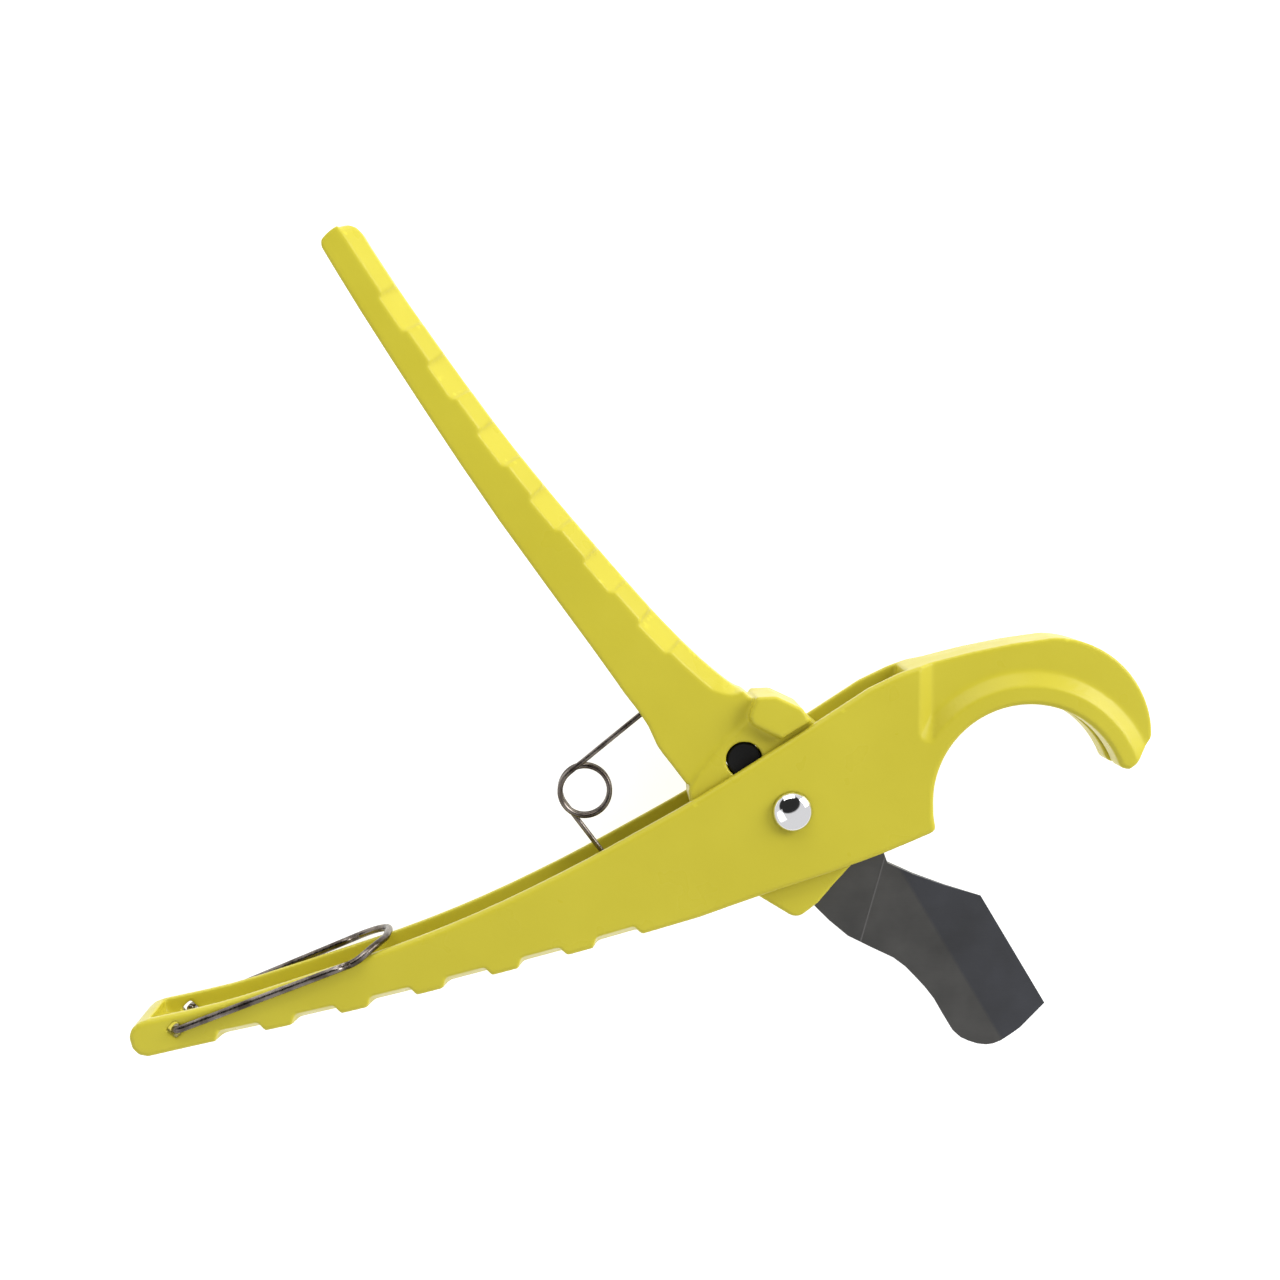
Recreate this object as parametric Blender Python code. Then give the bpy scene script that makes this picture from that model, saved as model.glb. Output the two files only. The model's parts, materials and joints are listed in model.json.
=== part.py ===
"""One-hand shear cutter for plastic pipe, lying on its side with its jaws open.

The die-cast body is a channel-shaped lower handle that ends in a hooked jaw. The die-cast lever
carries the blade and turns on the pivot between the body's two side walls. A torsion spring
holds it open against its stop pad, and a wire bail at the tail latches it shut.

Frame: the pivot axis is the Z axis, X runs from the tail to the jaw, and Z = 0 is the flat head
of the pivot nut, on which the tool rests. Dimensions are in millimetres and become metres
where a mesh or a curve is made.
"""

import math

import bmesh
import bpy
from mathutils import Matrix, Vector

for old in list(bpy.data.objects):
    bpy.data.objects.remove(old, do_unlink=True)

MM = 0.001

# Driving dimensions
WIDTH = 20.0  # body casting across its two side walls
FOOT = 2.0  # height of the body's lower face above the surface that the tool rests on
WALL = 2.5  # side walls of the body
FLOOR = 4.2  # web that closes the lower handle's channel
GAP = 0.3  # between neighbouring pieces
PIPE_RADIUS = 21.0  # jaw, for pipe of 42 mm outside diameter
JAW_CENTRE = (51.8, 2.0)
EDGE = 0.8  # rounded edges of the body
LEVER_EDGE = 0.4
GRIP_CHAMFER = 3.4  # flat chamfers along the spine of the lever's grip
HUB_WIDTH = 14.4
GRIP_WIDTH = 13.0
LEVER_WALL = 2.2
LEVER_SPINE = 4.2
BLADE_THICKNESS = 2.8
PIVOT_RADIUS = 3.5  # barrel that the lever turns on
BLADE_PIN_RADIUS = 3.7
BLADE_PIN_CENTRE = (-10.2, 10.8)
BLADE_PIN_RECESS = 0.5  # of each end of the pin below the hub's face
WASHER_SEAT = 0.9  # depth of the hub's seat for each thrust washer
WASHER_THICKNESS = 0.6
WASHER_RADIUS = 7.6
SPRING_WIRE = 0.62  # radius
SPRING_RADIUS = 5.45  # mean radius of the coil
SPRING_PITCH = 1.39  # rise of the coil in one turn
SPRING_TURNS = 2.25
BAIL_WIRE = 0.85  # radius
BAIL_CENTRE = (-133.8, -47.2)
BAIL_HOLE = 2.0  # half of the diagonal of the square holes for the bail's ends
BAIL_REACH = 49.0
BAIL_ANGLE = 22.6
BAIL_TWIST = 1.6  # how far the bail's upper leg is bent aside at its far end
BAIL_TWIST_FADE = 8  # how sharply that bend fades round the corner

MIDDLE = FOOT + WIDTH / 2
TOP = FOOT + WIDTH

# Scallops cut in the grips' outer edges: each has a flat floor with steep ends
SCALLOPS = 6
SCALLOP_FLOOR = 8.6  # length of the floor
SCALLOP_END_SLOPE = 0.6  # length of each end for a unit of depth
BODY_SCALLOP = (2.4, 6.9)  # the floor's reach across the flat face and down the outside
LEVER_SCALLOP = (4.3, 5.5)

MATERIALS = {
    "yellow_paint": ((0.61, 0.53, 0.045), 0.32, 0.0),
    "blade_steel": ((0.065, 0.066, 0.068), 0.42, 0.9),
    "chrome": ((0.78, 0.78, 0.80), 0.10, 1.0),
    "black_oxide": ((0.008, 0.008, 0.009), 0.45, 0.6),
    "spring_wire": ((0.32, 0.31, 0.29), 0.28, 1.0),
    "washer_steel": ((0.48, 0.47, 0.44), 0.35, 1.0),
}


# Outline helpers, in millimetres in the XY plane


def arc(centre, radius, start, end, steps):
    """Points on a circle from one angle to another, in degrees."""
    turns = [math.radians(start + (end - start) * i / steps) for i in range(steps + 1)]
    return [(centre[0] + radius * math.cos(a), centre[1] + radius * math.sin(a)) for a in turns]


def smooth(points, steps=3):
    """A Catmull-Rom curve through the points, with that many steps from each to the next."""
    ends = [points[0]] + points + [points[-1]]
    curve = []
    for a, b, c, d in zip(ends, ends[1:], ends[2:], ends[3:]):
        for i in range(steps):
            t = i / steps
            weights = (
                (-t + 2 * t * t - t**3) / 2,
                (2 - 5 * t * t + 3 * t**3) / 2,
                (t + 4 * t * t - 3 * t**3) / 2,
                (t**3 - t * t) / 2,
            )
            curve.append(tuple(sum(w * p[k] for w, p in zip(weights, (a, b, c, d))) for k in (0, 1)))
    return curve + [points[-1]]


def shifted(points, distance):
    """The open curve moved sideways, to the left of its direction."""
    moved = []
    for i, point in enumerate(points):
        before = Vector(points[max(i - 1, 0)])
        after = Vector(points[min(i + 1, len(points) - 1)])
        along = (after - before).normalized()
        moved.append((point[0] - distance * along.y, point[1] + distance * along.x))
    return moved


def station(points, distance):
    """The point at a distance along the curve, and the curve's direction there."""
    for a, b in zip(points, points[1:]):
        step = Vector(b) - Vector(a)
        if distance <= step.length:
            return Vector(a) + step.normalized() * distance, step.normalized()
        distance -= step.length
    return Vector(points[-1]), step.normalized()


def mirrored(z):
    """The same height on the other side of the tool's middle plane."""
    return 2 * MIDDLE - z


# Outlines of the body casting, each running anticlockwise

GRIP_BOTTOM = smooth([
    (-139.8, -53.3), (-128.3, -50.7), (-106.7, -46.1), (-85.0, -41.0), (-63.3, -35.4),
    (-41.6, -29.6), (-19.9, -23.3),
], 3)
BODY_BOTTOM = smooth([(-19.9, -23.3), (-6.9, -18.7), (8.3, -13.7), (20.2, -9.4), (30.6, -5.0)], 2)
JAW_TIP_ANGLE = 21.0
JAW_INSIDE = arc(JAW_CENTRE, PIPE_RADIUS, 180, JAW_TIP_ANGLE, 30)
HOOK_CENTRE = (57.1, 15.7)
HOOK_RADIUS = 21.7
JAW_TIP = [(72.2, 8.9), (73.7, 8.7), (75.2, 9.9), (77.0, 12.8)]
HOOK_OUTSIDE = arc(HOOK_CENTRE, HOOK_RADIUS, 0, 90, 16)
HOOK_SHOULDER = smooth([(48.4, 36.2), (39.4, 34.4), (32.7, 32.7), (27.3, 31.3), (23.0, 29.8)], 2)
BODY_TOP = smooth([
    (16.6, 26.7), (9.4, 22.0), (-4.0, 13.3), (-19.8, 3.3), (-34.8, -5.2), (-50.4, -13.6),
    (-68.2, -22.1), (-86.0, -29.2), (-106.9, -36.2), (-124.3, -41.6), (-139.6, -45.0),
], 3)
TAIL_END = [(-141.8, -45.8), (-143.3, -47.1), (-143.9, -48.9), (-143.2, -51.5), (-141.8, -52.9)]
BODY_OUTLINE = (
    GRIP_BOTTOM[:-1] + BODY_BOTTOM + [(31.4, -4.2), (30.9, -1.2)] + JAW_INSIDE + JAW_TIP
    + HOOK_OUTSIDE + HOOK_SHOULDER + BODY_TOP + TAIL_END
)

CHANNEL_END = 25.0  # right end of the wide channel, where the hook becomes solid
FLOOR_END = -22.0  # the channel has no floor from here to the right
TAIL_WALL = -139.6
SLOT_WIDTH = 4.0
SLOT_BACK = 4.4  # wall left outside the blade's slot in the hook
BLADE_SWEEP = 75.0  # radius that the slot clears about the pivot, past the blade's tip

RIM_INNER = 25.0  # the jaw's raised rim: edge of its flat face, and foot of its slope
RIM_OUTER = 28.2
WEB_RECESS = 2.2
STEP_INNER = 27.5  # the rounded step from the body's face down to the hook's web
STEP_OUTER = 30.4

# Outlines of the lever

INNER_EDGE = smooth([
    (-100.6, 120.9), (-92.5, 107.5), (-79.0, 86.4), (-63.2, 62.8), (-43.0, 34.9), (-36.3, 25.4),
], 2)
THROAT = smooth([(-33.9, 22.3), (-31.1, 18.2), (-29.1, 13.8), (-26.4, 10.2), (-22.9, 5.6)], 2)
LUG = [(-22.1, 1.8), (-20.0, -5.0), (-14.5, -12.5), (-7.2, -19.1), (-1.3, -22.7)]
LUG_TIP = arc((1.3, -20.9), 2.9, -120, -50, 4)
HUB_RADIUS = 18.3
SPINE = smooth([
    (-10.6, 25.9), (-13.2, 27.3), (-19.6, 32.6), (-26.4, 39.3), (-33.8, 47.3), (-50.8, 67.0),
    (-65.3, 85.2), (-81.9, 108.3), (-90.6, 121.4),
], 3)
LEVER_END = [
    (-92.2, 124.1), (-93.5, 125.4), (-95.2, 125.9), (-97.2, 125.4), (-99.4, 123.8), (-100.7, 122.3),
]
STEP_LINE = [(-8.0, 24.6), (-9.4, 19.6), (-14.2, 15.1), (-17.5, 11.4), (-20.5, 7.7)]
PAD_UNDERSIDE = [(-9.4, 20.6), (-8.7, 18.9), (-5.6, 17.3), (-2.3, 15.8), (3.9, 19.6)]
PAD_TOP = [(2.2, 22.3), (-3.5, 25.0), (-7.9, 24.8)]

# Outline of the blade

CUTTING_EDGE = ((43.2, -20.8), (57.9, -45.2))
BLADE_BACK = smooth([
    (52.3, -50.6), (47.9, -53.4), (44.6, -54.3), (40.6, -53.4), (37.1, -51.0), (32.9, -43.9),
    (28.4, -38.6), (23.6, -34.4), (13.4, -29.4), (6.5, -23.2),
], 2)
BLADE_FRONT = [(4.5, 9.6), (21.0, -10.0), (22.1, -13.1), (28.1, -15.8), (35.0, -18.3)]
TANG_RADIUS = 6.6
BEVEL_WIDTH = 12.4  # of the ground faces that meet at the cutting edge
EDGE_FLAT = 0.3

# Torsion spring

COIL_CENTRE = (-44.9, 3.3)
LOWER_LEG_TIP = (-32.6, -22.0)
UPPER_LEG_TIP = (-24.0, 27.4)


# Building helpers


def material(name):
    """The named Principled material, made once."""
    if name in bpy.data.materials:
        return bpy.data.materials[name]
    colour, roughness, metallic = MATERIALS[name]
    made = bpy.data.materials.new(name)
    made.use_nodes = True
    shader = made.node_tree.nodes["Principled BSDF"]
    shader.inputs["Base Color"].default_value = (*colour, 1)
    shader.inputs["Roughness"].default_value = roughness
    shader.inputs["Metallic"].default_value = metallic
    return made


def add_object(name, data, finish=None, parent=None):
    obj = bpy.data.objects.new(name, data)
    bpy.context.scene.collection.objects.link(obj)
    if finish:
        data.materials.append(material(finish))
    if parent:
        obj.parent = parent
        obj.matrix_parent_inverse = parent.matrix_world.inverted()
    return obj


def solid_between(name, rings, finish=None, parent=None, twisted=False):
    """A closed solid through rings of points in space, each with as many points.

    Faces between rings are split in triangles where the rings are twisted.
    """
    shape = bmesh.new()
    rings = [[shape.verts.new(Vector(point) * MM) for point in ring] for ring in rings]
    shape.faces.new(rings[0])
    shape.faces.new(rings[-1])
    for low, high in zip(rings, rings[1:]):
        count = len(low)
        for i in range(count):
            j = (i + 1) % count
            shape.faces.new((low[i], low[j], high[j], high[i]))
    if twisted:
        bmesh.ops.triangulate(shape, faces=shape.faces)
    bmesh.ops.recalc_face_normals(shape, faces=shape.faces)
    mesh = bpy.data.meshes.new(name)
    shape.to_mesh(mesh)
    shape.free()
    return add_object(name, mesh, finish, parent)


def loft(name, sections, finish=None, parent=None, twisted=False):
    """A closed solid through level sections of (outline, height)."""
    rings = [[(x, y, z) for x, y in outline] for outline, z in sections]
    return solid_between(name, rings, finish, parent, twisted)


def prism(name, outline, low, high, finish=None, parent=None):
    return loft(name, [(outline, low), (outline, high)], finish, parent)


def cylinder(name, centre, radius, low, high, finish=None, parent=None, sides=40):
    return prism(name, arc(centre, radius, 0, 360 - 360 / sides, sides - 1), low, high,
                 finish, parent)


def turned(name, profile, finish, parent=None, sides=40):
    """A solid turned about the pivot axis from a profile of (radius, height), bottom to top."""
    shape = bmesh.new()
    chain = [shape.verts.new((r * MM, 0, z * MM)) for r, z in profile]
    edges = [shape.edges.new(pair) for pair in zip(chain, chain[1:])]
    bmesh.ops.spin(shape, geom=chain + edges, axis=(0, 0, 1), cent=(0, 0, 0),
                   angle=2 * math.pi, steps=sides, use_merge=True)
    bmesh.ops.remove_doubles(shape, verts=shape.verts, dist=1e-6)
    bmesh.ops.recalc_face_normals(shape, faces=shape.faces)
    mesh = bpy.data.meshes.new(name)
    shape.to_mesh(mesh)
    shape.free()
    obj = add_object(name, mesh, finish, parent)
    mesh.shade_smooth()
    mesh.set_sharp_from_angle(angle=math.radians(35))
    return obj


def wire(name, points, radius, finish, parent):
    """A round wire through points in space."""
    curve = bpy.data.curves.new(name, "CURVE")
    curve.dimensions = "3D"
    curve.bevel_depth = radius * MM
    curve.bevel_resolution = 3
    curve.use_fill_caps = True
    spline = curve.splines.new("POLY")
    spline.points.add(len(points) - 1)
    for place, point in zip(spline.points, points):
        place.co = (*(value * MM for value in point), 1)
    return add_object(name, curve, finish, parent)


def combine(target, tool, operation):
    """Cuts the tool from the target, or joins it on."""
    step = target.modifiers.new(f"{operation}_{tool.name}", "BOOLEAN")
    step.operation = operation
    step.solver = "EXACT"
    step.object = tool
    tool.hide_render = True
    tool.display_type = "WIRE"


def cut(target, tool):
    combine(target, tool, "DIFFERENCE")


def join(target, tool):
    combine(target, tool, "UNION")


def round_edges(obj, width=EDGE):
    """Rounds the rims of both flat faces of a prism."""
    weights = obj.data.attributes.new("bevel_weight_edge", "FLOAT", "EDGE")
    for edge in obj.data.edges:
        ends = [obj.data.vertices[i].co / MM for i in edge.vertices]
        level = abs(ends[0].z - ends[1].z) < GAP
        weights.data[edge.index].value = 1 if level else 0
    bevel = obj.modifiers.new("rounded_edges", "BEVEL")
    bevel.limit_method = "WEIGHT"
    bevel.width = width * MM
    bevel.segments = 2


def scallops(target, line, first, pitch, width, reach):
    """Cuts the finger scallops in both edges along a line of the outline.

    A scallop's floor slants from the flat face to the grip's outside, a drop below that face.
    """
    inside, drop = reach
    far = 8.0
    for number in range(SCALLOPS):
        point, along = station(line, first + pitch * number)
        place = Vector((point.x, point.y, 0))
        run = Vector((along.x, along.y, 0))
        away = Vector((along.y, -along.x, 0))
        for side in (1, -1):
            up = Vector((0, 0, side))
            upper = place + Vector((0, 0, MIDDLE)) + up * width / 2 - away * inside
            lower = upper + away * inside - up * drop
            down = (lower - upper).normalized()
            lift = (away * drop + up * inside).normalized()
            rings = []
            for height in (0, far):
                half = SCALLOP_FLOOR / 2 + SCALLOP_END_SLOPE * height
                middle = [upper - down * far + lift * height, lower + down * far + lift * height]
                rings.append([
                    middle[0] - run * half, middle[0] + run * half,
                    middle[1] + run * half, middle[1] - run * half,
                ])
            cut(target, solid_between(f"scallop_{target.name}_{number}_{side + 1}", rings))


def pivot_empty(name, x, y):
    empty = bpy.data.objects.new(name, None)
    empty.location = (x * MM, y * MM, MIDDLE * MM)
    bpy.context.scene.collection.objects.link(empty)
    bpy.context.view_layer.update()
    return empty


# Body casting


def blade_slot():
    """The narrow slot for the blade in the hook, open to the jaw and at the jaw's tip."""
    back_of_tip = arc((0, 0), BLADE_SWEEP, 4, 12.5, 3)
    behind_jaw = arc(HOOK_CENTRE, HOOK_RADIUS - SLOT_BACK, 2, 90, 12)
    top = [(x, y - SLOT_BACK) for x, y in HOOK_SHOULDER if x > CHANNEL_END + 1]
    left = CHANNEL_END - 1
    outline = [(left, -20), (60, -12)] + back_of_tip + behind_jaw + top + [(left, top[-1][1] - 1)]
    return prism("blade_slot", outline, MIDDLE - SLOT_WIDTH / 2, MIDDLE + SLOT_WIDTH / 2)


def web_recess(side):
    """The recess outside the jaw's raised rim, which thins the hook to a web."""
    beyond = 100.0
    steps = 24
    bend = 5
    foot_end = arc((STEP_OUTER + 0.2, 20.8), 0.2, 180, 290, bend)
    face_end = arc((STEP_INNER + 2.2, 17.0), 2.2, 180, 290, bend)
    foot = [(STEP_OUTER, 60)] + foot_end + arc(JAW_CENTRE, RIM_OUTER, 138, 14, steps)
    face = [(STEP_INNER, 60)] + face_end + arc(JAW_CENTRE, RIM_INNER, 148, 14, steps)
    slope_top = 2 * WEB_RECESS
    outer = [(2 * f[0] - w[0], 2 * f[1] - w[1]) for f, w in zip(face, foot)]
    closing = [(beyond, 5), (beyond, 60)]
    surface = MIDDLE + side * WIDTH / 2
    return loft(f"web_recess_{side + 1}", [
        (foot + closing, surface - side * WEB_RECESS),
        (outer + closing, surface - side * WEB_RECESS + side * slope_top),
    ])


def make_body(parent=None):
    body = prism("body_casting", BODY_OUTLINE, FOOT, TOP, "yellow_paint", parent)
    round_edges(body)
    floor = [(x, y + FLOOR) for x, y in GRIP_BOTTOM if TAIL_WALL + 2 < x < FLOOR_END]
    above = [(x, y + 12) for x, y in BODY_TOP if x < CHANNEL_END]
    channel = (
        [(TAIL_WALL, floor[0][1] + 1.6), (TAIL_WALL + 0.8, floor[0][1] + 0.2)] + floor
        + [(FLOOR_END, floor[-1][1]), (FLOOR_END + 3, -40), (CHANNEL_END, -40), (CHANNEL_END, 50)]
        + above + [(TAIL_WALL, above[-1][1])]
    )
    cut(body, prism("channel", channel, FOOT + WALL, TOP - WALL))
    cut(body, blade_slot())
    for side in (1, -1):
        cut(body, web_recess(side))
    through = (FOOT - 5, TOP + 5)
    cut(body, cylinder("pivot_hole", (0, 0), PIVOT_RADIUS + GAP, *through))
    cut(body, cylinder("bail_holes", BAIL_CENTRE, BAIL_HOLE, *through, sides=4))
    scallops(body, GRIP_BOTTOM, first=20.5, pitch=16.9, width=WIDTH, reach=BODY_SCALLOP)
    return body


# Lever and what it carries


def chamfered_spine():
    """The spine and the lever's end moved inward by the grip's chamfer, which grows from the hub."""
    growth = 4
    inside = []
    for i, (edge, inner) in enumerate(zip(SPINE, shifted(SPINE, GRIP_CHAMFER))):
        inside.append(tuple(Vector(edge).lerp(Vector(inner), min(1, i / growth))))
    last = Vector(SPINE[-1])
    along = (last - Vector(SPINE[-2])).normalized()
    inward = Vector((-along.y, along.x))
    for point in LEVER_END:
        depth = (Vector(point) - last).dot(inward)
        inside.append(tuple(Vector(point) + inward * max(0, GRIP_CHAMFER - depth)))
    return inside


def make_lever(parent):
    """The lever casting: grip, hub, stop pad and blade lug."""
    grip_low = MIDDLE - GRIP_WIDTH / 2
    hub_low = MIDDLE - HUB_WIDTH / 2
    inside_hub = [(-16.0, 4.0), (-6.0, 12.0), (-6.0, 22.0)]
    grip = INNER_EDGE + THROAT + inside_hub + SPINE + LEVER_END
    face = INNER_EDGE + THROAT + inside_hub + chamfered_spine()
    grip_high = mirrored(grip_low)
    lever = loft("lever_casting", [
        (face, grip_low), (grip, grip_low + GRIP_CHAMFER),
        (grip, grip_high - GRIP_CHAMFER), (face, grip_high),
    ], "yellow_paint", parent, twisted=True)
    hub = (
        STEP_LINE + [(-22.4, 4.2)] + LUG + LUG_TIP + [(6.1, -20.8), (9.8, -16.4)]
        + arc((0, 0), HUB_RADIUS, -43, 62, 16) + [(4.0, 20.0), (0.0, 23.4)]
    )
    hub_block = prism("hub", hub, hub_low, mirrored(hub_low))
    round_edges(hub_block, LEVER_EDGE)
    join(lever, hub_block)
    pad_block = prism("stop_pad", PAD_UNDERSIDE + PAD_TOP, FOOT, TOP)
    round_edges(pad_block, LEVER_EDGE)
    join(lever, pad_block)

    spine_inside = shifted(SPINE, LEVER_SPINE)
    hollow = (
        [p for p in spine_inside if -88.0 < p[0] < -16.0]
        + [(-94.2, 122.0), (-104.0, 124.0), (-44.0, 20.0), (-38.0, 8.0), (-26.0, 13.2), (-15.4, 23.4)]
    )
    wall_low = grip_low + LEVER_WALL
    cut(lever, prism("lever_channel", hollow, wall_low, mirrored(wall_low)))
    slot_low = MIDDLE - BLADE_THICKNESS / 2 - GAP
    cut(lever, prism("tang_slot", tang_room(), slot_low, mirrored(slot_low)))
    through = (FOOT - 5, TOP + 5)
    cut(lever, cylinder("lever_bore", (0, 0), PIVOT_RADIUS + GAP, *through))
    cut(lever, cylinder("pin_bore", BLADE_PIN_CENTRE, BLADE_PIN_RADIUS + GAP, *through))
    for low in (hub_low - 1, mirrored(hub_low) - WASHER_SEAT):
        cut(lever, cylinder(f"washer_seat_{low:.0f}", (0, 0), WASHER_RADIUS + GAP,
                            low, low + 1 + WASHER_SEAT))
    scallops(lever, SPINE, first=22.0, pitch=17.7, width=GRIP_WIDTH, reach=LEVER_SCALLOP)
    return lever


def tang():
    """The blade's hidden end, round its pin, from the back of the blade to its front."""
    return arc(BLADE_PIN_CENTRE, TANG_RADIUS, 205, 25, 12)


def tang_room():
    """The blade's outline with clearance, where it lies in the hub."""
    around_pin = arc(BLADE_PIN_CENTRE, TANG_RADIUS + GAP, 210, 30, 12)
    return around_pin + [(5.2, 10.2), (30.0, -19.0), (20.0, -40.0), (5.9, -23.6), (-6.6, -10.0)]


def blade_outline():
    """The blade, running clockwise from the cutting edge's heel."""
    return list(CUTTING_EDGE) + BLADE_BACK + [(-6.0, -9.6)] + tang() + BLADE_FRONT


def make_blade(parent):
    low = MIDDLE - BLADE_THICKNESS / 2
    high = MIDDLE + BLADE_THICKNESS / 2
    blade = prism("blade", blade_outline(), low, high, "blade_steel", parent)
    cut(blade, cylinder("blade_pivot_hole", (0, 0), PIVOT_RADIUS + GAP, low - 1, high + 1))
    cut(blade, cylinder("blade_pin_hole", BLADE_PIN_CENTRE, BLADE_PIN_RADIUS + GAP,
                        low - 1, high + 1))
    heel, toe = (Vector(end) for end in CUTTING_EDGE)
    along = (toe - heel).normalized()
    outward = Vector((-along.y, along.x))
    beyond = 4.0
    past_ends = 16
    for side in (1, -1):
        surface = MIDDLE + side * BLADE_THICKNESS / 2
        edge_height = MIDDLE + side * EDGE_FLAT / 2
        slope = (surface - edge_height) / BEVEL_WIDTH
        section = [
            (-BEVEL_WIDTH, surface),
            (beyond, edge_height - slope * beyond),
            (beyond, surface + side),
            (-BEVEL_WIDTH, surface + side),
        ]
        ends = (heel - along * past_ends, toe + along * past_ends)
        rings = [[(*(end + outward * far), height) for far, height in section] for end in ends]
        cut(blade, solid_between(f"bevel_{side + 1}", rings))
    return blade


def make_blade_pin(parent):
    low = MIDDLE - HUB_WIDTH / 2 + BLADE_PIN_RECESS
    cylinder("blade_pin", BLADE_PIN_CENTRE, BLADE_PIN_RADIUS, low, mirrored(low),
             "black_oxide", parent)


# Pivot


def make_pivot():
    """A domed screw and a barrel nut, with a thrust washer on each side of the hub."""
    screw_radius = 1.9
    head_radius = 4.3
    head_height = 2.5
    seat = TOP + GAP
    dome = [
        (head_radius * math.cos(a), seat + 0.4 + (head_height - 0.4) * math.sin(a))
        for a in (math.radians(10 * i) for i in range(9))
    ]
    turned("pivot_screw", [
        (0, FOOT + 6.5), (screw_radius, FOOT + 6.5), (screw_radius, seat), (head_radius, seat),
        *dome, (0, seat + head_height),
    ], "chrome")
    flange = FOOT - GAP
    barrel_top = TOP - 0.1
    bore = screw_radius + GAP
    turned("pivot_nut", [
        (0, 0), (4.6, 0), (5.0, 0.4), (5.0, flange), (PIVOT_RADIUS, flange),
        (PIVOT_RADIUS, barrel_top), (bore, barrel_top), (bore, FOOT + 4), (0, FOOT + 4),
    ], "chrome")
    inner = MIDDLE + HUB_WIDTH / 2 - WASHER_SEAT + GAP
    for name, low in (("upper", inner), ("lower", mirrored(inner) - WASHER_THICKNESS)):
        high = low + WASHER_THICKNESS
        ring = (PIVOT_RADIUS + GAP, WASHER_RADIUS)
        turned(f"thrust_washer_{name}", [
            (ring[0], low), (ring[1], low), (ring[1], high), (ring[0], high), (ring[0], low),
        ], "washer_steel")


# Spring and bail


def spring_half(name, tip, side, parent):
    """One leg of the torsion spring with the half of the coil that belongs to it.

    The leg runs from its tip to the coil, which it meets at a tangent on the coil's far side,
    and the coil climbs or falls from there to the middle plane.
    """
    centre = Vector(COIL_CENTRE)
    reach = Vector(tip) - centre
    lean = math.acos(SPRING_RADIUS / reach.length)
    start = math.atan2(reach.y, reach.x) + side * lean
    turns = SPRING_TURNS / 2
    ending = SPRING_PITCH / 2
    steps = 54
    points = [(*tip, MIDDLE + side * (ending + SPRING_PITCH * turns))]
    for i in range(steps + 1):
        part = i / steps
        angle = start + side * 2 * math.pi * turns * part
        place = centre + SPRING_RADIUS * Vector((math.cos(angle), math.sin(angle)))
        points.append((*place, MIDDLE + side * (ending + SPRING_PITCH * turns * (1 - part))))
    wire(name, points, SPRING_WIRE, "spring_wire", parent)


def make_spring(coil_parent, arm_parent):
    spring_half("spring_coil", LOWER_LEG_TIP, -1, coil_parent)
    spring_half("spring_arm", UPPER_LEG_TIP, 1, arm_parent)


def make_bail(parent):
    """The wire bail: two legs outside the walls, joined by a bar, with ends in the wall holes."""
    near = TOP + GAP + BAIL_WIRE
    end_bend = 1.7
    corner = 8.5
    inside = TOP - WALL - 0.8
    side = [(0, inside)]
    side += arc((end_bend, near - end_bend), end_bend, 180, 90, 5)
    side += [(BAIL_REACH * i / 4, near) for i in (1, 2, 3)]
    side += arc((BAIL_REACH - corner, near - corner), corner, 90, 0, 8)
    path = side + [(reach, mirrored(z)) for reach, z in reversed(side)]
    turn = math.radians(BAIL_ANGLE)
    x, y = BAIL_CENTRE
    points = []
    for reach, z in path:
        fade = max(0, (z - MIDDLE) / (near - MIDDLE)) ** BAIL_TWIST_FADE
        drop = BAIL_TWIST * reach / BAIL_REACH * fade
        points.append((
            x + reach * math.cos(turn) + drop * math.sin(turn),
            y + reach * math.sin(turn) - drop * math.cos(turn),
            z,
        ))
    wire("bail", points, BAIL_WIRE, "spring_wire", parent)


lever_pivot = pivot_empty("lever_pivot", 0, 0)
coil_pivot = pivot_empty("coil_pivot", *LOWER_LEG_TIP)
arm_pivot = pivot_empty("arm_pivot", *COIL_CENTRE)
bail_pivot = pivot_empty("bail_pivot", *BAIL_CENTRE)

make_body()
make_pivot()
make_lever(lever_pivot)
make_blade(lever_pivot)
make_blade_pin(lever_pivot)
make_spring(coil_pivot, arm_pivot)
make_bail(bail_pivot)
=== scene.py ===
"""Looks of the plastic pipe cutter: refined castings, ground blade, wound spring and bent bail.

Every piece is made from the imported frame's nodes or from its joints, in metres.
"""

import json
import math

import bmesh
import bpy
from mathutils import Matrix, Vector


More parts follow.
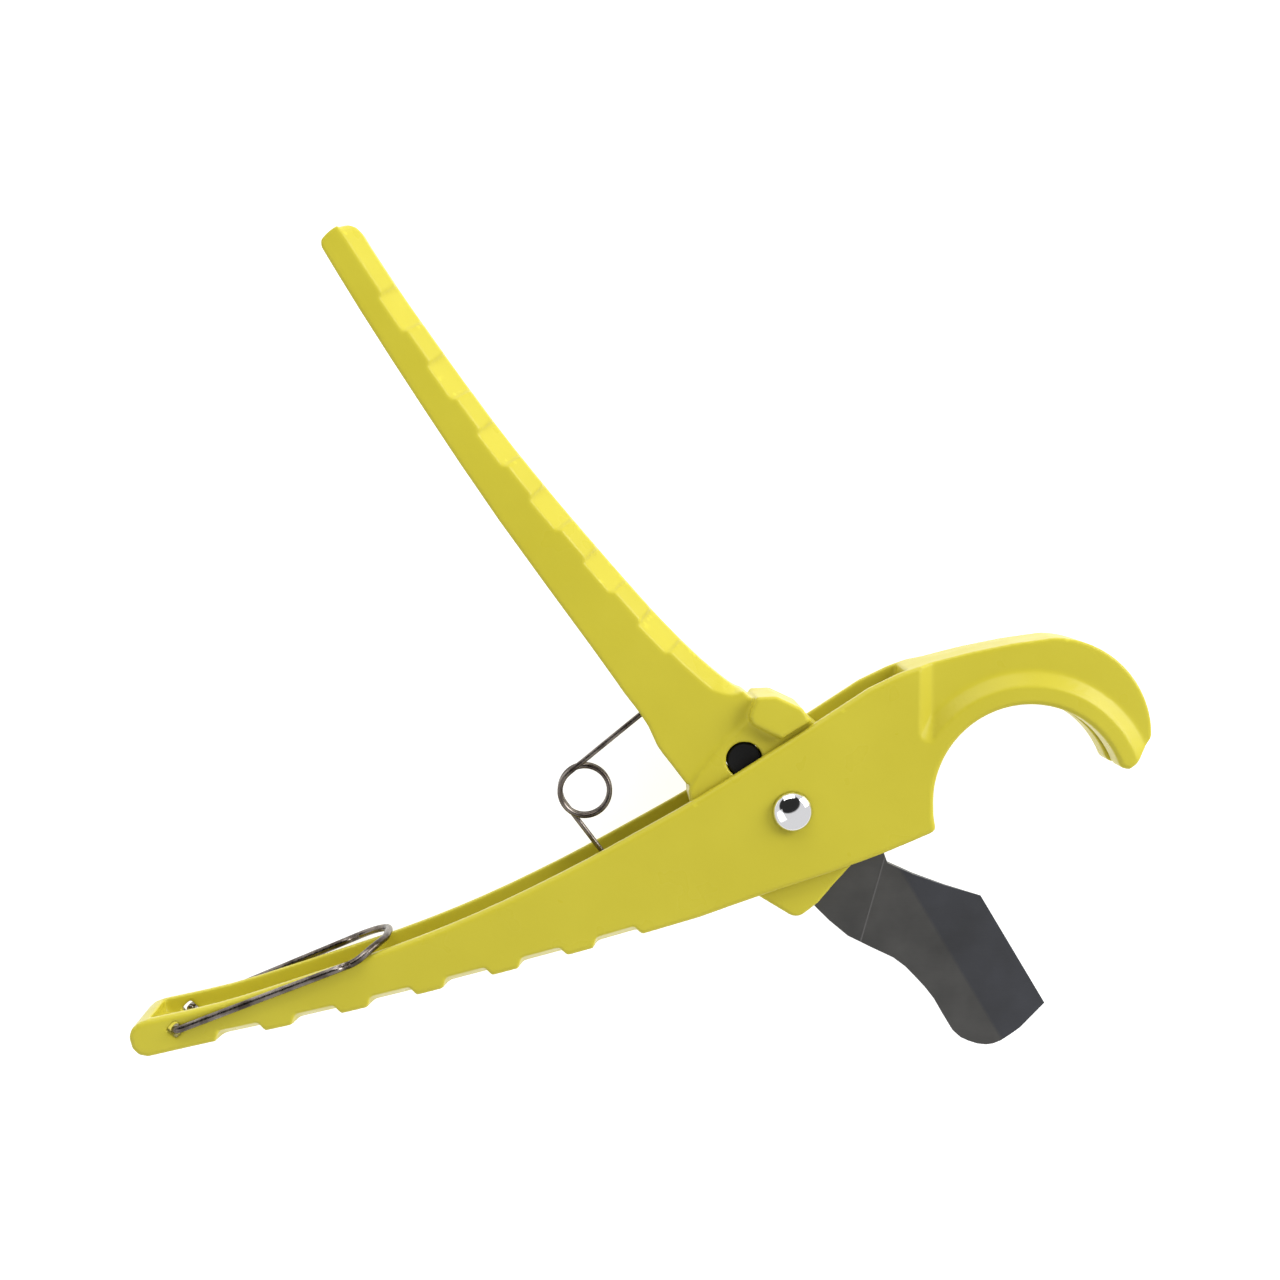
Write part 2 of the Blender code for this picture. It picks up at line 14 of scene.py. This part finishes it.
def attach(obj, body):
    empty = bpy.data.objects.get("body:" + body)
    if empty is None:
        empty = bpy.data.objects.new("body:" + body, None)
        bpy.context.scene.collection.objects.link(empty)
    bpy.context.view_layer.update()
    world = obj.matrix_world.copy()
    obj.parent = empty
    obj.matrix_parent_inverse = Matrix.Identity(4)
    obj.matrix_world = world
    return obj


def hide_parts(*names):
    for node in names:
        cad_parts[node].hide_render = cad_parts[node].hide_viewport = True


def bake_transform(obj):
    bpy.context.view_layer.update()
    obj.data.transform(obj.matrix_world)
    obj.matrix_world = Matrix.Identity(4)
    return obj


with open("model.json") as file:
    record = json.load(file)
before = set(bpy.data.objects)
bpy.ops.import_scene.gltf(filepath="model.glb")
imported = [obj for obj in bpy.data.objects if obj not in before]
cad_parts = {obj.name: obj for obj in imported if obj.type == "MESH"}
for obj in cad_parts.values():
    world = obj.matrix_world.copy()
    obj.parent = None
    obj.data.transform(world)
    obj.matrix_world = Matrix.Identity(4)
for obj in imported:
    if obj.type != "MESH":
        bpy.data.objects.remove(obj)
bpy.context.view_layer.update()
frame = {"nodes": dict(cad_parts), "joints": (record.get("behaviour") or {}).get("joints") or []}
NODES = frame["nodes"]
JOINTS = {joint["name"]: joint for joint in frame["joints"]}
MM = 0.001

# Casting surfaces
CAST_VOXEL = 0.40 * MM
CAST_SMOOTHING = 6  # passes that turn sharp edges into the cast ones
BODY_FACES = 150_000
LEVER_FACES = 110_000

BROKEN_EDGE = 0.12 * MM  # of the blade
BROKEN_ANGLE = 30  # degrees; blade edges sharper than this are broken
WELD_DISTANCE = 1e-6

# Pieces that are turned or bent, in millimetres
MIDDLE = 12.0
TURNED_SIDES = 96
SHARP_ANGLE = 40  # degrees; edges of turned pieces sharper than this stay crisp
WIRE_SIDES = 20
WIRE_END = 0.8  # of the wire's radius, at its broken ends
PIVOT_RADIUS = 3.5
SPRING_WIRE = 0.60
SPRING_RADIUS = 5.45
SPRING_LEG = 2.26  # from the middle plane to the middle of each leg
SPRING_FULL_TURNS = 2
LOWER_LEG_TIP = (-32.6, -22.0)
UPPER_LEG_TIP = (-24.0, 27.4)
BAIL_WIRE = 0.83
BAIL_REACH = 49.0
BAIL_ANGLE = 22.6
BAIL_LEG = 11.15  # from the middle plane to the middle of each leg
BAIL_TWIST = 1.6
BAIL_TWIST_FADE = 8

# Marks on the blade, in metres from the pivot: where the bevel starts, and a scribed line
BEVEL_START = 0.0138
BEVEL_FADE = 0.0004
BEVEL_DIRECTION = (0.856, 0.516, 0.0)
SCRIBED_LINE = 0.0238
SCRIBED_DIRECTION = (0.964, -0.2655, 0.0)
SCRIBED_CORE, SCRIBED_EDGE = 0.00008, 0.00022
GRINDING_ANGLE = 31  # degrees
GRINDING_STRETCH = (0.06, 1.0, 1.0)

# Sockets of a colour Mix node
MIX_FIRST, MIX_SECOND, MIX_RESULT = 6, 7, 2

# Stage: size of the floor, and each light's name, place, size and power
FLOOR_SIZE = 6
LIGHT_TARGET = (-0.03, 0.03, 0)
LIGHTS = (
    ("key_light", (1.2, 0.75, 0.7), (0.9, 0.9), 20),
    ("back_light", (-0.3, 1.4, 0.7), (1.2, 0.9), 12),
    ("fill_light", (-0.9, -0.5, 1.0), (1.0, 1.0), 2),
)
DARK_PATCH_DIRECTION = Vector((-0.20, 0.50, 0.84)).normalized()
DARK_PATCH = {"From Min": 0.74, "From Max": 0.80, "To Min": 0.83, "To Max": 0.03}

# Camera, almost straight above the tool
CAMERA_PLACE = Vector((-0.0451, 0.0728, 0.4560))
CAMERA_TARGET = Vector((-0.0330, 0.0373, 0.0220))
CAMERA_LENS = 57.1


# Node helpers


class Shader:
    """A Principled material and short calls for the nodes that feed it."""

    def __init__(self, name, colour, roughness, metallic=0.0):
        self.material = bpy.data.materials.new(name)
        self.material.use_nodes = True
        self.tree = self.material.node_tree
        self.surface = self.tree.nodes["Principled BSDF"]
        self.set(self.surface, "Base Color", (*colour, 1))
        self.set(self.surface, "Roughness", roughness)
        self.set(self.surface, "Metallic", metallic)
        self.place = self.node("TexCoord").outputs["Object"]

    def node(self, kind, **settings):
        made = self.tree.nodes.new(f"ShaderNode{kind}")
        for name, value in settings.items():
            setattr(made, name, value)
        return made

    def set(self, node, socket, value):
        target = node.inputs[socket]
        if isinstance(value, bpy.types.NodeSocket):
            self.tree.links.new(value, target)
        else:
            target.default_value = value

    def finish(self, **sockets):
        for name, value in sockets.items():
            self.set(self.surface, name.replace("_", " "), value)

    def noise(self, size, detail=2.0, roughness=0.5, stretch=None):
        """Noise whose grains are about that size in metres, as a value round 0.5."""
        place = self.place
        if stretch:
            mapping = self.node("Mapping")
            self.set(mapping, "Vector", place)
            self.set(mapping, "Rotation", stretch[0])
            self.set(mapping, "Scale", stretch[1])
            place = mapping.outputs["Vector"]
        made = self.node("TexNoise")
        self.set(made, "Vector", place)
        self.set(made, "Scale", 1 / size)
        self.set(made, "Detail", detail)
        self.set(made, "Roughness", roughness)
        return made.outputs["Fac"]

    def along(self, direction):
        """How far a point is along a direction from the tool's origin, in metres."""
        made = self.node("VectorMath", operation="DOT_PRODUCT")
        self.set(made, 0, self.place)
        self.set(made, 1, direction)
        return made.outputs["Value"]

    def between(self, value, low, high, out_low, out_high):
        """The value moved from one range to another, and held inside it."""
        made = self.node("MapRange")
        limits = {"From Min": low, "From Max": high, "To Min": out_low, "To Max": out_high}
        for name, number in limits.items():
            self.set(made, name, number)
        self.set(made, "Value", value)
        return made.outputs["Result"]

    def mix(self, share, first, second):
        """A colour between two colours."""
        made = self.node("Mix", data_type="RGBA")
        self.set(made, "Factor", share)
        for index, colour in ((MIX_FIRST, first), (MIX_SECOND, second)):
            is_socket = isinstance(colour, bpy.types.NodeSocket)
            self.set(made, index, colour if is_socket else (*colour, 1))
        return made.outputs[MIX_RESULT]

    def bump(self, height, distance, below=None):
        made = self.node("Bump")
        self.set(made, "Height", height)
        self.set(made, "Distance", distance)
        if below:
            self.set(made, "Normal", below)
        return made.outputs["Normal"]


def yellow_paint():
    """Glossy lemon paint over a die casting, with orange peel and a painted highlight: sharp edges
    lighter in colour.
    """
    paint = Shader("yellow_paint", (0.53, 0.465, 0.022), 0.3)
    cloud = paint.between(paint.noise(0.030, 3.0), 0.35, 0.65, 0.0, 1.0)
    colour = paint.mix(cloud, (0.525, 0.460, 0.036), (0.555, 0.490, 0.042))
    edge = paint.node("NewGeometry").outputs["Pointiness"]
    # painted highlight: sharp edges, found by pointiness, are mixed towards a lighter yellow
    painted_edge_highlight = paint.between(edge, 0.53, 0.62, 0.0, 0.45)
    colour = paint.mix(painted_edge_highlight, colour, (0.66, 0.60, 0.055))
    peel = paint.bump(paint.noise(0.0011, 1.0), 0.00002)
    cast = paint.bump(paint.noise(0.0060, 2.0), 0.00006, peel)
    gloss = paint.between(paint.noise(0.0090, 2.0), 0.3, 0.7, 0.26, 0.36)
    paint.finish(Base_Color=colour, Roughness=gloss, Normal=cast, Specular_IOR_Level=0.2)
    return paint.material


def blade_steel():
    """Dark hardened steel with grinding lines, darker on the bevel, and a scribed line by the hub."""
    steel = Shader("blade_steel", (0.06, 0.06, 0.062), 0.42, 0.85)
    grinding = ((0, 0, math.radians(GRINDING_ANGLE)), GRINDING_STRETCH)
    lines = steel.noise(0.0004, 2.0, 0.6, grinding)
    cloud = steel.between(steel.noise(0.012, 3.0), 0.3, 0.7, 0.0, 1.0)
    flat = steel.mix(cloud, (0.074, 0.073, 0.071), (0.112, 0.110, 0.106))
    ground = steel.mix(cloud, (0.056, 0.057, 0.062), (0.070, 0.072, 0.082))
    to_edge = steel.along(BEVEL_DIRECTION)
    on_bevel = steel.between(to_edge, BEVEL_START - BEVEL_FADE, BEVEL_START + BEVEL_FADE, 0.0, 1.0)
    colour = steel.mix(on_bevel, flat, ground)
    across = steel.along(SCRIBED_DIRECTION)
    off_line = steel.node("Math", operation="SUBTRACT")
    steel.set(off_line, 0, across)
    steel.set(off_line, 1, SCRIBED_LINE)
    distance = steel.node("Math", operation="ABSOLUTE")
    steel.set(distance, 0, off_line.outputs[0])
    scribed = steel.between(distance.outputs[0], SCRIBED_CORE, SCRIBED_EDGE, 1.0, 0.0)
    colour = steel.mix(scribed, colour, (0.15, 0.145, 0.145))
    rough = steel.between(lines, 0.3, 0.7, 0.36, 0.5)
    grain = steel.bump(lines, 0.000006)
    steel.finish(Base_Color=colour, Roughness=rough, Normal=steel.bump(scribed, 0.00004, grain))
    return steel.material


def chrome():
    """Polished plating with the faintest waviness."""
    plate = Shader("chrome", (0.80, 0.80, 0.82), 0.06, 1.0)
    rough = plate.between(plate.noise(0.0015, 2.0), 0.3, 0.7, 0.04, 0.10)
    plate.finish(Roughness=rough, Normal=plate.bump(plate.noise(0.002), 0.000004))
    return plate.material


def black_oxide():
    black = Shader("black_oxide", (0.003, 0.003, 0.0035), 0.6)
    grain = black.noise(0.0004, 2.0)
    black.finish(Roughness=black.between(grain, 0.3, 0.7, 0.5, 0.7), Specular_IOR_Level=0.2,
                 Base_Color=black.mix(grain, (0.002, 0.002, 0.002), (0.004, 0.004, 0.005)),
                 Normal=black.bump(grain, 0.00001))
    return black.material


def drawn_wire():
    """Spring wire: bright where it is rubbed, with brown and dark patches of temper."""
    wire = Shader("spring_wire", (0.20, 0.17, 0.15), 0.26, 1.0)
    patch = wire.between(wire.noise(0.005, 3.0), 0.4, 0.62, 0.0, 1.0)
    colour = wire.mix(patch, (0.24, 0.21, 0.19), (0.075, 0.06, 0.05))
    rough = wire.between(wire.noise(0.0006, 2.0), 0.3, 0.7, 0.2, 0.36)
    wire.finish(Base_Color=colour, Roughness=rough, Normal=wire.bump(wire.noise(0.0003), 0.000006))
    return wire.material


def washer_steel():
    steel = Shader("washer_steel", (0.48, 0.47, 0.44), 0.35, 1.0)
    grain = steel.noise(0.0005, 2.0)
    steel.finish(Roughness=steel.between(grain, 0.3, 0.7, 0.28, 0.42),
                 Base_Color=steel.mix(grain, (0.42, 0.41, 0.38), (0.54, 0.53, 0.50)),
                 Normal=steel.bump(grain, 0.000006))
    return steel.material


FINISHES = {
    make.__name__: make() for make in (yellow_paint, blade_steel, chrome, black_oxide, washer_steel)
}
FINISHES["spring_wire"] = drawn_wire()


# Mesh helpers


def add_piece(name, mesh, finish, body):
    """A shown piece with a finish, riding on a body."""
    piece = bpy.data.objects.new(name, mesh)
    bpy.context.scene.collection.objects.link(piece)
    mesh.materials.clear()
    mesh.materials.append(FINISHES[finish])
    if body:
        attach(piece, body)
    return piece


def evaluated(obj):
    """The object's mesh with its modifiers applied, and the object removed."""
    bpy.context.view_layer.update()
    graph = bpy.context.evaluated_depsgraph_get()
    mesh = bpy.data.meshes.new_from_object(obj.evaluated_get(graph))
    bpy.data.objects.remove(obj)
    return mesh


def cast_skin(name, node, body, faces):
    """A casting's skin: the CAD solid with every edge rounded as in a die casting."""
    work = bpy.data.objects.new(f"{name}_work", NODES[node].data.copy())
    bpy.context.scene.collection.objects.link(work)
    remesh = work.modifiers.new("remesh", "REMESH")
    remesh.mode = "VOXEL"
    remesh.voxel_size = CAST_VOXEL
    soften = work.modifiers.new("soften", "SMOOTH")
    soften.factor = 0.5
    soften.iterations = CAST_SMOOTHING
    mesh = evaluated(work)
    mesh.calc_loop_triangles()
    work = bpy.data.objects.new(f"{name}_work", mesh)
    bpy.context.scene.collection.objects.link(work)
    thin = work.modifiers.new("thin", "DECIMATE")
    thin.ratio = min(1.0, faces / len(mesh.loop_triangles))
    mesh = evaluated(work)
    mesh.name = name
    mesh.shade_smooth()
    skin = add_piece(name, mesh, "yellow_paint", body)
    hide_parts(node)
    return skin


def soften_node(node, finish, width):
    """A CAD node kept as it is, with its sharp edges broken and its own finish."""
    obj = NODES[node]
    obj.data.materials.clear()
    obj.data.materials.append(FINISHES[finish])
    merge = obj.modifiers.new("merge", "WELD")
    merge.merge_threshold = WELD_DISTANCE
    bevel = obj.modifiers.new("broken_edges", "BEVEL")
    bevel.width = width
    bevel.segments = 2
    bevel.angle_limit = math.radians(BROKEN_ANGLE)
    bevel.harden_normals = True


def solid(name, rings, finish, body, closed_ends=True):
    """A smooth skin over rings of points in millimetres, each joined to the next."""
    shape = bmesh.new()
    loops = [[shape.verts.new(Vector(point) * MM) for point in ring] for ring in rings]
    for low, high in zip(loops, loops[1:]):
        for i, corner in enumerate(low):
            j = (i + 1) % len(low)
            shape.faces.new((corner, low[j], high[j], high[i]))
    if closed_ends:
        shape.faces.new(loops[0])
        shape.faces.new(loops[-1])
    bmesh.ops.remove_doubles(shape, verts=shape.verts, dist=1e-7)
    bmesh.ops.recalc_face_normals(shape, faces=shape.faces)
    mesh = bpy.data.meshes.new(name)
    shape.to_mesh(mesh)
    shape.free()
    mesh.shade_smooth()
    return add_piece(name, mesh, finish, body)


def turned(name, profile, finish, body, node, centre=(0, 0)):
    """A piece turned about an axis along Z, from a closed profile of (radius, height)."""
    turns = [2 * math.pi * i / TURNED_SIDES for i in range(TURNED_SIDES)]
    rings = []
    for radius, height in profile:
        rings.append([
            (centre[0] + radius * math.cos(a), centre[1] + radius * math.sin(a), height) for a in turns
        ])
    hollow = profile[0] == profile[-1]
    piece = solid(name, rings, finish, body, closed_ends=not hollow)
    piece.data.set_sharp_from_angle(angle=math.radians(SHARP_ANGLE))
    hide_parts(node)
    return piece


def broken(profile, size, rounds=3):
    """The profile with each corner inside it rounded off by about that size."""
    points = [Vector(point) for point in profile]
    soft = [tuple(points[0])]
    for before, corner, after in zip(points, points[1:], points[2:]):
        start = corner + (before - corner).normalized() * min(size, (before - corner).length / 3)
        end = corner + (after - corner).normalized() * min(size, (after - corner).length / 3)
        for i in range(rounds + 1):
            t = i / rounds
            soft.append(tuple((1 - t) ** 2 * start + 2 * t * (1 - t) * corner + t * t * end))
    return soft + [tuple(points[-1])]


def round_wire(name, path, radius, finish, body):
    """A round wire along a path in millimetres, with its ends broken."""
    path = [Vector(point) for point in path]
    side = Vector((0.31, 0.17, 0.93))  # no wire here starts along this direction
    turns = [2 * math.pi * k / WIRE_SIDES for k in range(WIRE_SIDES)]
    rings = []
    for i, place in enumerate(path):
        along = (path[min(i + 1, len(path) - 1)] - path[max(i - 1, 0)]).normalized()
        side = (side - along * side.dot(along)).normalized()
        other = along.cross(side)
        size = radius * (WIRE_END if i in (0, len(path) - 1) else 1.0)
        rings.append([place + (side * math.cos(a) + other * math.sin(a)) * size for a in turns])
    return solid(name, rings, finish, body)


# Pieces


def joint_place(name):
    return Vector(JOINTS[name]["pos_m"]) / MM


def leg(tip, centre, side):
    """A straight leg of the spring: the angle where it meets the coil, and its path to there."""
    tip = Vector(tip)
    reach = tip - centre.xy
    angle = math.atan2(reach.y, reach.x) + side * math.acos(SPRING_RADIUS / reach.length)
    first = centre.xy + SPRING_RADIUS * Vector((math.cos(angle), math.sin(angle)))
    end_break = 0.15
    steps = 8
    nearly = tip + (first - tip).normalized() * end_break
    height = MIDDLE + side * SPRING_LEG
    path = [(*tip, height), (*nearly, height)]
    path += [(*tip.lerp(first, t / steps), height) for t in range(1, steps)]
    return angle, path


def torsion_spring():
    """The spring as one wire, which winds up between its lower and its upper leg."""
    centre = joint_place("spring_wind")
    start, lower = leg(LOWER_LEG_TIP, centre, -1)
    end, upper = leg(UPPER_LEG_TIP, centre, 1)
    turn = (start - end) % (2 * math.pi) + SPRING_FULL_TURNS * 2 * math.pi
    steps = 200
    coil = []
    for i in range(steps + 1):
        angle = start - turn * i / steps
        height = MIDDLE + SPRING_LEG * (2 * i / steps - 1)
        coil.append((
            centre.x + SPRING_RADIUS * math.cos(angle),
            centre.y + SPRING_RADIUS * math.sin(angle),
            height,
        ))
    spring = round_wire("torsion_spring", lower + coil + upper[::-1], SPRING_WIRE, "spring_wire", None)
    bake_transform(spring)
    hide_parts("spring_coil", "spring_arm")


def bail_wire():
    """The latch: one bent wire with its two ends in the holes of the walls."""
    end_bend = 1.7
    corner = 8.5
    steps = 24
    straight_steps = 12
    end_length = 3.7
    end_break = 0.2
    inside = BAIL_LEG - end_length
    side = [(0, inside), (0, inside + end_break)]
    for i in range(steps + 1):
        a = math.radians(180 - 90 * i / steps)
        side.append((end_bend + end_bend * math.cos(a), BAIL_LEG - end_bend + end_bend * math.sin(a)))
    side += [(BAIL_REACH * i / straight_steps, BAIL_LEG) for i in range(1, straight_steps - 1)]
    for i in range(steps + 1):
        a = math.radians(90 - 90 * i / steps)
        side.append((
            BAIL_REACH - corner + corner * math.cos(a),
            BAIL_LEG - corner + corner * math.sin(a),
        ))
    path = side + [(reach, -level) for reach, level in reversed(side)]
    turn = math.radians(BAIL_ANGLE)
    along = Vector((math.cos(turn), math.sin(turn), 0))
    across = Vector((math.sin(turn), -math.cos(turn), 0))
    start = joint_place("bail_swing")
    points = []
    for reach, level in path:
        drop = BAIL_TWIST * reach / BAIL_REACH * max(0, level / BAIL_LEG) ** BAIL_TWIST_FADE
        points.append(start + along * reach + across * drop + Vector((0, 0, level)))
    bail = round_wire("bail_wire", points, BAIL_WIRE, "spring_wire", "bail")
    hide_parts("bail")


def pivot_pieces():
    """The domed screw, the barrel nut and the thrust washers."""
    seat = 22.3  # underside of the screw's head
    head = 4.3
    head_height = 2.5
    head_rim = 0.4
    dome_height = 2.1
    shank = 1.9
    shank_end = 8.5
    undercut = 0.02  # keeps the head's two lowest rings apart
    dome = [
        (head * math.cos(a), seat + head_rim + dome_height * math.sin(a))
        for a in (math.radians(5 * i) for i in range(18))
    ]
    under = [(0.0, shank_end), (shank, shank_end), (shank, seat), (head - undercut, seat)]
    screw = broken(under, 0.1) + dome + [(0.0, seat + head_height)]
    turned("pivot_screw_turned", screw, "chrome", "body", "pivot_screw")

    flange = 5.0
    flange_height = 1.7
    chamfer = 0.4
    barrel_end = 21.9
    bore = 2.2
    bore_end = 6.0
    nut = [
        (0.0, 0.0), (flange - chamfer, 0.0), (flange, chamfer), (flange, flange_height),
        (PIVOT_RADIUS, flange_height), (PIVOT_RADIUS, barrel_end), (bore, barrel_end),
        (bore, bore_end), (0.0, bore_end),
    ]
    turned("pivot_nut_turned", broken(nut, 0.12), "chrome", "body", "pivot_nut")

    inner, outer = 3.8, 7.6
    thickness = 0.6
    edge = 0.1
    for name, low in (("upper", 18.6), ("lower", 4.8)):
        high = low + thickness
        ring = [
            (inner, low + edge), (inner + edge, low), (outer - edge, low), (outer, low + edge),
            (outer, high - edge), (outer - edge, high), (inner + edge, high), (inner, high - edge),
            (inner, low + edge),
        ]
        turned(f"washer_{name}_turned", ring, "washer_steel", "body", f"thrust_washer_{name}")


def pin():
    """The black pin through the hub and the blade, with slightly dished ends."""
    low, high = 5.3, 18.7
    radius = 3.7
    chamfer = 0.3
    rim = 3.0
    dish, dish_depth = 2.6, 0.1
    turned("blade_pin_turned", [
        (0.0, low + dish_depth), (dish, low + dish_depth), (rim, low), (radius - chamfer, low),
        (radius, low + chamfer), (radius, high - chamfer), (radius - chamfer, high), (rim, high),
        (dish, high - dish_depth), (0.0, high - dish_depth),
    ], "black_oxide", "lever", "blade_pin", (-10.2, 10.8))


cast_skin("body_skin", "body_casting", "body", BODY_FACES)
cast_skin("lever_skin", "lever_casting", "lever", LEVER_FACES)
soften_node("blade", "blade_steel", BROKEN_EDGE)
pivot_pieces()
pin()
torsion_spring()
bail_wire()


# Stage


def area_light(name, place, target, size, power):
    data = bpy.data.lights.new(name, "AREA")
    data.shape = "RECTANGLE"
    data.size, data.size_y = size
    data.energy = power
    light = bpy.data.objects.new(name, data)
    light.location = place
    light.rotation_euler = (Vector(target) - Vector(place)).to_track_quat("-Z", "Y").to_euler()
    bpy.context.scene.collection.objects.link(light)


def make_stage():
    """A pale floor, soft light from three sides, and a pale room with a dark patch overhead."""
    bpy.ops.mesh.primitive_plane_add(size=FLOOR_SIZE)
    floor = bpy.context.object
    floor.name = "floor"
    pale = Shader("pale_floor", (0.90, 0.90, 0.90), 0.9)
    tone = pale.noise(0.2)
    pale.finish(Base_Color=pale.mix(tone, (0.50, 0.50, 0.50), (0.53, 0.53, 0.53)),
                Specular_IOR_Level=0.0, Emission_Color=(1, 1, 1, 1), Emission_Strength=0.85)
    floor.data.materials.append(pale.material)
    for name, place, size, power in LIGHTS:
        area_light(name, place, LIGHT_TARGET, size, power)
    world = bpy.context.scene.world or bpy.data.worlds.new("world")
    bpy.context.scene.world = world
    world.use_nodes = True
    tree = world.node_tree
    background = tree.nodes["Background"]
    direction = tree.nodes.new("ShaderNodeTexCoord")
    towards = tree.nodes.new("ShaderNodeVectorMath")
    towards.operation = "DOT_PRODUCT"
    towards.inputs[1].default_value = DARK_PATCH_DIRECTION
    tree.links.new(direction.outputs["Generated"], towards.inputs[0])
    patch = tree.nodes.new("ShaderNodeMapRange")
    patch.interpolation_type = "SMOOTHSTEP"
    for socket, value in DARK_PATCH.items():
        patch.inputs[socket].default_value = value
    tree.links.new(towards.outputs["Value"], patch.inputs["Value"])
    tree.links.new(patch.outputs["Result"], background.inputs["Strength"])
    background.inputs["Color"].default_value = (1.0, 1.0, 1.0, 1)


def make_camera():
    data = bpy.data.cameras.new("camera")
    data.sensor_width = 36
    data.lens = CAMERA_LENS
    data.clip_start = 0.01
    camera = bpy.data.objects.new("camera", data)
    back = (CAMERA_PLACE - CAMERA_TARGET).normalized()
    right = Vector((0, 1, 0)).cross(back).normalized()
    turn = Matrix((right, back.cross(right), back)).transposed()
    camera.matrix_world = Matrix.Translation(CAMERA_PLACE) @ turn.to_4x4()
    bpy.context.scene.collection.objects.link(camera)
    bpy.context.scene.camera = camera


make_stage()
make_camera()
bpy.context.scene.view_settings.view_transform = "Standard"
